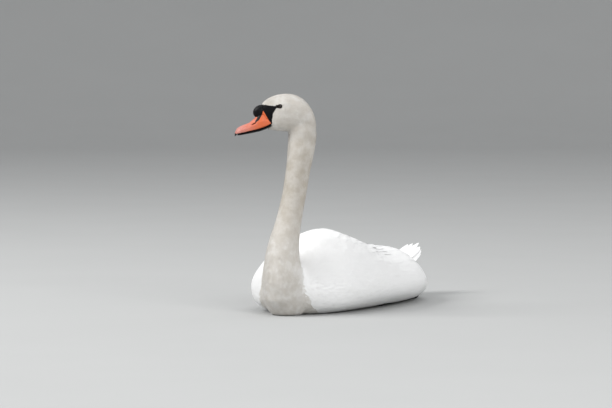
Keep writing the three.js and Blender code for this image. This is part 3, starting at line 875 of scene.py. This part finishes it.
SIDES = {"left": 1, "right": -1}
wing_coats = []
for name, side in SIDES.items():
    scales = roots_for(lambda p: sized(p, 6.5, 9.5, -230, -40), wing_part(f"wing_{name}", -245, -30))
    under = roots_for(lambda p: full(p, 12), wing_part(f"wing_{name}", -30, 215))
    rows = [  # pattern, roots, length and how much it varies, half width, rise, thickness, turn
        (COVERT, row((72, -120, 165), (146, -70, 30), 17, side, 6), 78, 0.06, 9, 1.1, 0.8, 0.03),
        (COVERT, row((62, -70, 165), (146, -10, 30), 15, side, 5), 118, 0.04, 11, 1.2, 0.8, 0.02),
        (QUILL, row((50, 20, 150), (140, 62, 42), 12, side), 172, 0.02, 13, 1.4, 0.9, 0.02),
        (QUILL, row((12, 70, 140), (62, 96, 118), 6, side), 120, 0, 13, 1.8, 0.9, 0.02),
        (QUILL, row((14, 118, 125), (80, 128, 88), 8, side), 160, 0, 10, 0.4, 0.9, 0.02)]
    layers = [scaly(scales, (32, 52), (7, 11), (-230, -40), 0.5),
              laid(CONTOUR, under, 62, 0, 11, 0.3, 0.6, 0.1, depth=5),
              *(laid(*kind, tilt=-0.5 * side) for kind in rows)]
    wing_coats.append(coat_piece(f"coat_wing_{name}", layers))

scales = roots_for(lambda p: sized(p, 6.5, 10, -200, 60), wing_part("mantle", -210, 80))
cape = [[row((4, y, 170), (x, y - 55, 140), count, side, 9) for side in (1, -1)]
        for y, x, count in ((-150, 88, 13), (-95, 88, 13), (-35, 86, 12), (15, 76, 11))]
mantle_coat = coat_piece("coat_mantle", [
    scaly(scales, (32, 60), (7, 12), (-200, 60), 0.2),
    *(laid(COVERT, roots, length, 0.09, 11, rise, 0.9, 0.03, tilt)
      for pair, length, rise in zip(cape, (62, 74, 88, 100), (0.3, 0.8, 1.4, 3.2))
      for roots, tilt in zip(pair, (-0.7, 0.7)))])

rump_roots = np.concatenate([roots_for(lambda p: full(p, 8), wing_part(f"wing_tip_{name}", 100, 300))
                             for name in SIDES])
rump_coat = coat_piece("coat_rump", [laid(CONTOUR, rump_roots, 46, 0, 8, 0.3, 0.6, 0.1)])

# %% [markdown]
# ## The tail
# The tail is a short fan of stiff pointed feathers, the middle ones longest, arched like a roof and tipped up
# behind. They don't lie on the body, so they are not laid: each is turned to its place in the fan and bent a
# little. Fluffy coverts hide their roots above and below.

# %% The tail's fan
TAIL_ROOT = Vector((0, 178, 62.4)) * MM
TAIL_LIFT = math.radians(15)
TAIL_ROLL = Matrix.Rotation(math.radians(-7), 3, "Y")  # the fan's left side is a little higher


def stand(pattern, root, turn, roll, lift, length, half, thick, curl):
    """One feather standing free from its root. It lies along +Y before it is rolled, lifted and turned."""
    x, y, z = pattern[0].T
    flat = np.stack([-y * half, x * length, z * thick + curl * x**2 - 0.12 * half * y**2], 1)
    place = Matrix.Rotation(turn, 3, "Z") @ Matrix.Rotation(lift, 3, "X") @ Matrix.Rotation(roll, 3, "Y")
    spots = flat @ np.array(TAIL_ROLL @ place).T + np.array(root)
    return spots[None], pattern, np.array([root])


RECTRIX = vane([0, 0.3, 0.55, 0.75, 0.88, 0.96, 1], [0.5, 0.9, 1, 0.88, 0.6, 0.3, 0.1], 5, fray=0.01)
FANS = [  # feathers in a layer, its drop under the first one, how much shorter it is, and half a feather's width
    (17, 0, 0, 10.5), (16, 1.6, 5, 10.5), (14, 3.2, 12, 11),
    *((12, 5 + 2.2 * k, 26 + 6.5 * k, 12 + 0.3 * k) for k in range(12)),
    (13, -0.3, 54, 9), (12, -0.6, 68, 9)]  # the last two are the coverts over the tail
fans = []
for count, drop, shorter, half in FANS:
    over, soft = drop < 0, shorter > 20  # the lower layers are the soft coverts under the tail
    curl = 1 if over else 6 if soft else 3
    for i in range(count):
        s = 2 * i / (count - 1) - 1  # from -1 on the right of the fan to 1 on its left
        arch = (15 * s * s if s > 0 else 30 * abs(s) ** 1.5) * (0.6 if soft and not over else 1)
        above = (0.6 if soft else 1.2) * (i % 2)
        root = TAIL_ROOT + TAIL_ROLL @ Vector((11 * s, 0, above - arch - drop)) * MM
        taper = (42 if s > 0 else 30) * abs(s) ** 3
        length = (180 - taper - shorter + (7 if soft else 3.5) * chance.normal()) * MM
        loose = 0.05 if soft else 0.02
        turn, roll = math.radians(-11.5) * s, math.radians(32) * s
        lift = TAIL_LIFT - math.radians(drop / 4)
        fans.append(stand(COVERT if soft else RECTRIX, root, turn + loose * chance.normal(),
                          roll + loose * chance.normal(), lift, length, half * MM, 1.2 * MM, curl * MM))
tail_coat = coat_piece("coat_tail", fans)
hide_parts("tail")

# %% [markdown]
# ## The hard parts of the head
# The bill is bone under a sheath of horn. The CAD solids have its true outline in facets, so each is wrapped
# again in small squares and blurred just enough to look grown. The knob is a plain ball of skin, leaning
# forwards, and is blurred the most. The eyes are glossy balls, nearly all covered by the lids.

# %% The bill
HORN_SQUARE = 0.75 * MM


def smooth_mesh(name, bm):
    """A smooth mesh of a bmesh, which is freed."""
    mesh = bpy.data.meshes.new(name)
    bm.to_mesh(mesh)
    bm.free()
    mesh.shade_smooth()
    return mesh


def horn(name, node, rounds, fill=0.0):
    """A CAD node wrapped in even squares. A fill is a narrower copy of it set higher, to close the gap above."""
    bm = copy_of([node])
    if fill:
        made = bmesh.ops.duplicate(bm, geom=bm.verts[:] + bm.edges[:] + bm.faces[:])["geom"]
        for v in (g for g in made if isinstance(g, bmesh.types.BMVert)):
            v.co += upward * fill - leftward * 0.16 * (v.co - between_eyes).dot(leftward) - forward * 1.5 * MM
    bm = wrapped(bm, HORN_SQUARE)
    points, edges = arrays_of(bm)
    put_points(bm, smoothed(points, edges, rounds))
    bmesh.ops.recalc_face_normals(bm, faces=bm.faces)
    piece = linked(name, smooth_mesh(name, bm))
    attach(piece, "root")
    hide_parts(node)
    print(name, len(piece.data.polygons), "faces")
    return piece


bill_upper = horn("bill_upper_horn", "bill_upper", 10)
bill_lower = horn("bill_lower_horn", "bill_lower", 8, fill=2 * MM)
bill_nail = horn("bill_nail_horn", "bill_nail", 4)
bill_knob = horn("bill_knob_skin", "bill_knob", 40)
NAIL_BLACK = -58  # the nail is black below this height from the eyes
for piece in (bill_upper, bill_nail):
    points = np.array([v.co[:] for v in piece.data.vertices])
    ahead, up, _ = in_head(points).T
    black = blackness(points) if piece is bill_upper else ((NAIL_BLACK - up) / 4 + 0.5).clip(0, 1)
    set_values(piece.data, "black", black)
    set_values(piece.data, "ahead", ahead / 95)

# %% The claws
ANKLE = (64, 98, 3.4)  # where the left foot's toes begin, in millimetres
TOES = ((15, 105), (0, 132), (-13, 124))  # how far each turns outwards, in degrees, and its length
CLAW_LENGTH, CLAW_HALF = 14, 2.6
claws = bmesh.new()
for side in SIDES.values():
    ankle = Vector((side * ANKLE[0], *ANKLE[1:])) * MM
    for turn, toe_length in TOES:
        place = Matrix.Translation(ankle) @ Matrix.Rotation(math.radians(-side * turn), 4, "Z")
        for v in bmesh.ops.create_uvsphere(claws, u_segments=12, v_segments=10, radius=1)["verts"]:
            t = (v.co.z + 1) / 2  # from the root to the point, which bends down
            thin = CLAW_HALF * (1 - 0.75 * t)
            ahead = toe_length - CLAW_LENGTH * (0.9 - t)
            v.co = place @ (Vector((v.co.x * thin, -ahead, v.co.y * thin - t * t)) * MM)
bmesh.ops.recalc_face_normals(claws, faces=claws.faces)
claw_piece = linked("claws", smooth_mesh("claws", claws))
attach(claw_piece, "root")
print("claws", len(claw_piece.data.polygons), "faces")

# %% The eyes
IRIS_EDGE = 0.62
PUPIL_EDGE = 0.36


def eyeball(side):
    bm = bmesh.new()
    bmesh.ops.create_uvsphere(bm, u_segments=40, v_segments=28, radius=EYEBALL * MM)
    outward = leftward if side == "left" else -leftward
    turn = Vector((0, 0, 1)).rotation_difference(outward).to_matrix().to_4x4()
    bmesh.ops.transform(bm, matrix=Matrix.Translation(eyes[side]) @ turn, verts=bm.verts)
    points, _ = arrays_of(bm)
    off = np.linalg.norm(np.cross(points - np.array(eyes[side]), np.array(outward)), axis=1) / (EYEBALL * MM)
    piece = linked(f"eyeball_{side}", smooth_mesh(f"eyeball_{side}", bm))
    set_values(piece.data, "off_axis", off)
    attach(piece, "root")
    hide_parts(f"eye_{side}")
    return piece


eyeballs = [eyeball(side) for side in SIDES]
print("eyeballs at", [round(v / MM) for v in eyes["left"]], [round(v / MM) for v in eyes["right"]])

# %% [markdown]
# ## Finishes
# Plumage is matt and a little silky. Its white isn't one flat colour: the head and the neck are stained in
# blotches, and each feather differs a little from the next. The skin under it has the same markings, so that
# nothing shows through between feathers. The colour comes from the stain that each piece carries and from
# noise at its place on the bird. Fine ridges across each vane stand for its barbs.

# %% Helpers for finishes
def input_of(shader, name):
    """A shader's input by its name in small letters."""
    return shader.inputs[name.replace("_", " ").title().replace("Ior", "IOR")]


def finish(name, **numbers):
    """A new material, its node tree and its shader, with the numbers that are the same all over."""
    material = bpy.data.materials.new(name)
    material.use_nodes = True
    shader = material.node_tree.nodes["Principled BSDF"]
    for socket, number in numbers.items():
        input_of(shader, socket).default_value = number
    return material, material.node_tree, shader


def drive(tree, shader, **results):
    """Joins what differs from place to place to the shader's inputs."""
    for socket, result in results.items():
        tree.links.new(result, input_of(shader, socket))


def add_node(tree, kind, inputs=(), **settings):
    """A node with its settings, and its inputs joined to sockets or set to numbers, by name or place."""
    made = tree.nodes.new(kind)
    for setting, value in settings.items():
        setattr(made, setting, value)
    for key, value in dict(inputs).items():
        if isinstance(value, bpy.types.NodeSocket):
            tree.links.new(value, made.inputs[key])
        else:
            made.inputs[key].default_value = value
    return made


def sum_of(tree, operation, first, second=0.0):
    return add_node(tree, "ShaderNodeMath", {0: first, 1: second}, operation=operation).outputs[0]


def ranged(tree, value, low, high, to_low=0.0, to_high=1.0):
    inputs = {"Value": value, "From Min": low, "From Max": high, "To Min": to_low, "To Max": to_high}
    return add_node(tree, "ShaderNodeMapRange", inputs).outputs[0]


def mixed(tree, share, first, second):
    """A colour between two colours."""
    return add_node(tree, "ShaderNodeMix", {0: share, 6: first, 7: second}, data_type="RGBA").outputs[2]


def noise(tree, scale, detail=3.0):
    place = add_node(tree, "ShaderNodeTexCoord").outputs["Object"]
    return add_node(tree, "ShaderNodeTexNoise", {"Vector": place, "Scale": scale, "Detail": detail}).outputs[0]


def carried(tree, name):
    return add_node(tree, "ShaderNodeAttribute", attribute_name=name).outputs["Fac"]


EDGE_SOFT = 0.06


def edged(tree, name):
    """A carried number that changes slowly, made into a sharp and slightly uneven edge where it passes a half."""
    uneven = ranged(tree, noise(tree, 260.0), 0.3, 0.7, -0.07, 0.07)
    return ranged(tree, sum_of(tree, "ADD", carried(tree, name), uneven), 0.5 - EDGE_SOFT, 0.5 + EDGE_SOFT)


def bumped(tree, shader, height, distance):
    bump = add_node(tree, "ShaderNodeBump", {"Height": height, "Distance": distance, "Strength": 1.0})
    drive(tree, shader, normal=bump.outputs[0])


# %% Plumage
WHITE = (0.88, 0.88, 0.875, 1)
DULL = (0.59, 0.56, 0.515, 1)  # half stained
STAINED = (0.44, 0.395, 0.33, 1)
BLACK_SKIN = (0.004, 0.004, 0.005, 1)
ORANGE = (0.62, 0.135, 0.05, 1)
PINK = (0.52, 0.21, 0.175, 1)
LEG_LIGHT, LEG_DARK = (0.035, 0.035, 0.04, 1), (0.012, 0.012, 0.014, 1)


def plumage_colour(tree):
    """The bird's own white, darker where it carries a stain: stained on the head and the neck, greyer at the neck's
    root.
    """
    blotch = ranged(tree, noise(tree, 55.0, 4.0), 0.35, 0.65, 0.72, 1.12)
    # How far towards the darker colours: the stain of the head and the neck, and the grey of the neck's root.
    darkening = sum_of(tree, "MULTIPLY", carried(tree, "stain"), blotch)
    tone = ranged(tree, carried(tree, "tone"), 0.0, 1.0, -0.06, 0.06)
    darkening = sum_of(tree, "ADD", darkening, sum_of(tree, "MULTIPLY", tone, carried(tree, "stain")))
    half_stained = mixed(tree, ranged(tree, darkening, 0.0, 0.5), WHITE, DULL)
    return mixed(tree, ranged(tree, darkening, 0.5, 1.0), half_stained, STAINED)


def plumage(name):
    material, tree, shader = finish(name, roughness=0.8, sheen_weight=0.15, sheen_roughness=0.5)
    drive(tree, shader, base_color=plumage_colour(tree))
    vane_map = add_node(tree, "ShaderNodeUVMap", uv_map="Vane").outputs[0]
    parts = add_node(tree, "ShaderNodeSeparateXYZ", {0: vane_map})
    across = sum_of(tree, "ABSOLUTE", sum_of(tree, "SUBTRACT", parts.outputs[0], 0.5))
    slant = sum_of(tree, "SUBTRACT", sum_of(tree, "MULTIPLY", parts.outputs[1], 60.0),
                   sum_of(tree, "MULTIPLY", across, 30.0))
    barbs = sum_of(tree, "SINE", sum_of(tree, "MULTIPLY", slant, 6.28))
    shaft = ranged(tree, across, 0.0, 0.04, 3.0, 0.0)
    bumped(tree, shader, sum_of(tree, "ADD", barbs, shaft), 0.00008)
    return material


def give(material, *pieces):
    for piece in pieces:
        piece.data.materials.clear()
        piece.data.materials.append(material)


give(plumage("white_feathers"), mantle_coat, rump_coat, tail_coat, *trunk_coats, *wing_coats)
give(plumage("stained_feathers"), *head_coats, *neck_coats)

# %% Skin
material, tree, shader = finish("skin", specular_ior_level=0.08)
bare_here = edged(tree, "bare")
face_skin = mixed(tree, edged(tree, "horn"), BLACK_SKIN, ORANGE)
drive(tree, shader, base_color=mixed(tree, bare_here, plumage_colour(tree), face_skin),
      roughness=ranged(tree, bare_here, 0.0, 1.0, 0.85, 0.5))
bumped(tree, shader, noise(tree, 700.0, 3.0), 0.00012)
scaly, tree, shader = finish("leg_skin", roughness=0.55)
scales = add_node(tree, "ShaderNodeTexVoronoi",
                  {"Vector": add_node(tree, "ShaderNodeTexCoord").outputs["Object"], "Scale": 260.0})
drive(tree, shader, base_color=mixed(tree, scales.outputs["Distance"], LEG_LIGHT, LEG_DARK))
bumped(tree, shader, scales.outputs["Distance"], -0.0008)
give(material, skin)
skin.data.materials.append(scaly)
for polygon in skin.data.polygons[-len(leg_faces):]:
    polygon.material_index = 1

# %% Bill and eyes
material, tree, shader = finish("orange_horn", roughness=0.5, specular_ior_level=0.3)
toward_tip = ranged(tree, carried(tree, "ahead"), 0.45, 0.9)
streak = ranged(tree, noise(tree, 160.0, 4.0), 0.3, 0.7, -0.15, 0.15)
orange = mixed(tree, sum_of(tree, "ADD", toward_tip, streak), ORANGE, PINK)
drive(tree, shader, base_color=mixed(tree, edged(tree, "black"), orange, BLACK_SKIN))
bumped(tree, shader, noise(tree, 500.0, 5.0), 0.0003)
give(material, bill_upper, bill_nail)

material, tree, shader = finish("black_horn", specular_ior_level=0.1)
grey = mixed(tree, noise(tree, 220.0, 4.0), (0.003, 0.003, 0.004, 1), (0.009, 0.009, 0.01, 1))
drive(tree, shader, base_color=grey, roughness=ranged(tree, noise(tree, 300.0), 0.3, 0.7, 0.3, 0.5))
bumped(tree, shader, noise(tree, 700.0, 5.0), 0.0004)
give(material, bill_lower, bill_knob, claw_piece)

material, tree, shader = finish("eye", roughness=0.05, specular_ior_level=0.35)
off = carried(tree, "off_axis")
iris = mixed(tree, noise(tree, 1200.0), (0.014, 0.007, 0.004, 1), (0.03, 0.014, 0.008, 1))
colour = mixed(tree, ranged(tree, off, PUPIL_EDGE, PUPIL_EDGE + 0.04), (0.002, 0.002, 0.002, 1), iris)
colour = mixed(tree, ranged(tree, off, IRIS_EDGE, IRIS_EDGE + 0.06), colour, (0.02, 0.012, 0.01, 1))
drive(tree, shader, base_color=colour)
give(material, *eyeballs)

# %% [markdown]
# ## Stage and light
# A plain pale dish: a level floor that curves up all round into a wall, so that there is no horizon from any
# side. The light is that of a bright overcast day: a large soft key from above on the bird's right, which is
# the left of the frame, a weaker fill from the other side, a faint one from overhead, and pale light from
# everywhere.

# %% Stage and light
DISH_FLOOR, DISH_BEND, BEND_STEPS = 9.0, 4.0, 8
SKY, SKY_STRENGTH = (0.97, 0.98, 1.0, 1), 0.62
LIT_PLACE = Vector((0, 0, 0.2))

bm = bmesh.new()
profile = [bm.verts.new((0, 0, 0)), bm.verts.new((DISH_FLOOR, 0, 0))]
for i in range(1, BEND_STEPS + 1):
    a = math.radians(90 * i / BEND_STEPS)
    profile.append(bm.verts.new((DISH_FLOOR + DISH_BEND * math.sin(a), 0, DISH_BEND * (1 - math.cos(a)))))
profile_edges = [bm.edges.new(pair) for pair in zip(profile, profile[1:])]
bmesh.ops.spin(bm, geom=profile + profile_edges, cent=(0, 0, 0), axis=(0, 0, 1), angle=2 * math.pi, steps=96,
               use_merge=True)
bmesh.ops.remove_doubles(bm, verts=bm.verts, dist=1e-5)
bmesh.ops.recalc_face_normals(bm, faces=bm.faces)
dish = linked("dish", smooth_mesh("dish", bm))
material, tree, shader = finish("pale_floor", roughness=0.9)
drive(tree, shader, base_color=mixed(tree, noise(tree, 3.0), (0.42, 0.425, 0.42, 1), (0.44, 0.445, 0.44, 1)))
give(material, dish)


def soft_light(name, place, size, power):
    light = bpy.data.lights.new(name, "AREA")
    light.size = size
    light.energy = power
    lamp = linked(name, light)
    lamp.location = place
    lamp.rotation_euler = (LIT_PLACE - lamp.location).to_track_quat("-Z", "Y").to_euler()
    lamp.visible_camera = False


soft_light("key", Vector((-4.0, -2.8, 4.3)), 3.5, 340)
soft_light("fill", Vector((4.5, -3.5, 2.5)), 3.0, 185)
soft_light("top", Vector((0.4, 0.6, 6.0)), 4.0, 70)
world = bpy.data.worlds.new("sky")
world.use_nodes = True
sky = world.node_tree.nodes["Background"].inputs
sky["Color"].default_value = SKY
sky["Strength"].default_value = SKY_STRENGTH
bpy.context.scene.world = world
bpy.context.scene.view_settings.view_transform = "Standard"
print("stage and lights ready")
